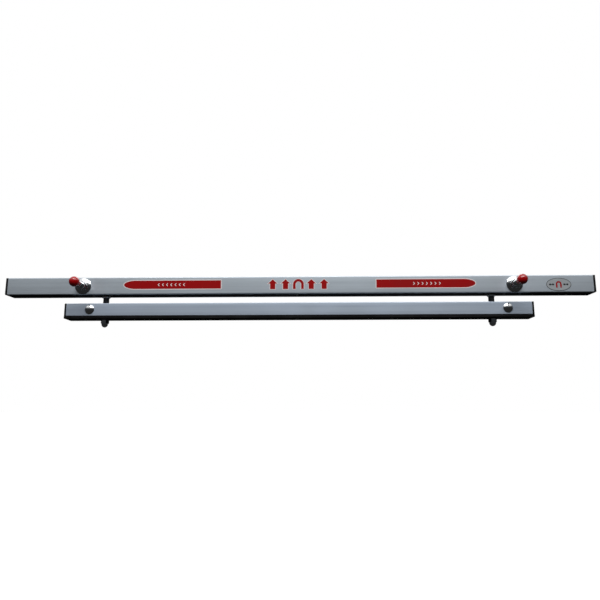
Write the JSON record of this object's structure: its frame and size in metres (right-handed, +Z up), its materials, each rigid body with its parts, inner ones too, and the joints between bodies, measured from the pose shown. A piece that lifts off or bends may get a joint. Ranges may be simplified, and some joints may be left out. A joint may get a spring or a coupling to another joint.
{
  "type": "magnetic nail sweeper",
  "caption": "Hanging magnetic sweeper: a long hanger bar locks onto two square posts with pull pins, and a shorter magnet bar floats below it on guide studs.",
  "frame": {"origin": "centre of the hanger bar's flat top face, midway between its two hanging holes", "axes": "+X along the bars, -Y towards the pull pins and labels, +Z up"},
  "size_m": [1.524, 0.1304, 0.1284],
  "materials": {
    "hanger_aluminium": "satin",
    "housing_aluminium": "satin",
    "cast_aluminium": "matte",
    "black_plastic": "satin",
    "black_strip": "matte",
    "bright_chrome": "polished",
    "zinc_steel": "satin",
    "dark_steel": "satin",
    "spring_steel": "satin",
    "bronze": "satin",
    "ferrite": "matte",
    "red_knob": "gloss",
    "red_label": "satin",
    "badge_label": "satin"
  },
  "bodies": {
    "hanger_bar": {"hanger_channel": "hanger_aluminium", "channel_cover": "black_strip", "channel_cover_screws": "dark_steel", "hanger_end_cap_left": "black_plastic", "hanger_end_cap_right": "black_plastic", "post_socket_left": "cast_aluminium", "post_socket_right": "cast_aluminium", "socket_screws": "zinc_steel", "anchor_block_left": "cast_aluminium", "anchor_block_right": "cast_aluminium", "centre_block": "cast_aluminium", "block_screws": "zinc_steel", "guide_stud_left": "zinc_steel", "guide_stud_right": "zinc_steel", "guide_sleeve_left": "dark_steel", "guide_sleeve_right": "dark_steel", "guide_jam_nuts": "zinc_steel", "stop_washers": "bright_chrome", "acorn_nuts": "bright_chrome", "plunger_barrel_left": "bright_chrome", "plunger_barrel_right": "bright_chrome", "nose_bush_left": "zinc_steel", "nose_bush_right": "zinc_steel", "plunger_spring_left": "spring_steel", "plunger_spring_right": "spring_steel", "plunger_washers": "bright_chrome", "plunger_nuts": "bright_chrome", "label_arrow_left": "red_label", "label_arrow_right": "red_label", "label_centre": "red_label", "label_badge": "badge_label"},
    "magnet_bar": {"magnet_housing": "housing_aluminium", "backing_plate": "dark_steel", "magnet_blocks": "ferrite", "magnet_spacers": "cast_aluminium", "guide_block_left": "cast_aluminium", "guide_block_right": "cast_aluminium", "guide_bushing_left": "bronze", "guide_bushing_right": "bronze", "wear_strip": "black_strip", "wear_strip_screws": "dark_steel", "magnet_end_cap_left": "black_plastic", "magnet_end_cap_right": "black_plastic", "cross_bolts": "bright_chrome", "cross_bolt_washers": "zinc_steel", "cross_bolt_nuts": "zinc_steel"},
    "pull_pin_left": {"pull_pin_left": "bright_chrome", "pin_knob_left": "red_knob"},
    "pull_pin_right": {"pull_pin_right": "bright_chrome", "pin_knob_right": "red_knob"}
  },
  "joints": [
    {"name": "magnet_bar_lift", "type": "slide", "parent": "hanger_bar", "child": "magnet_bar", "axis": [0, 0, 1], "range_m": [0, 0.016]},
    {"name": "pull_pin_left_slide", "type": "slide", "parent": "hanger_bar", "child": "pull_pin_left", "axis": [0, -1, 0], "range_m": [0, 0.011], "stiffness_N_per_m": 700, "springref_m": -0.01, "deforming": ["plunger_spring_left"]},
    {"name": "pull_pin_right_slide", "type": "slide", "parent": "hanger_bar", "child": "pull_pin_right", "axis": [0, -1, 0], "range_m": [0, 0.011], "stiffness_N_per_m": 700, "springref_m": -0.01, "deforming": ["plunger_spring_right"]}
  ]
}
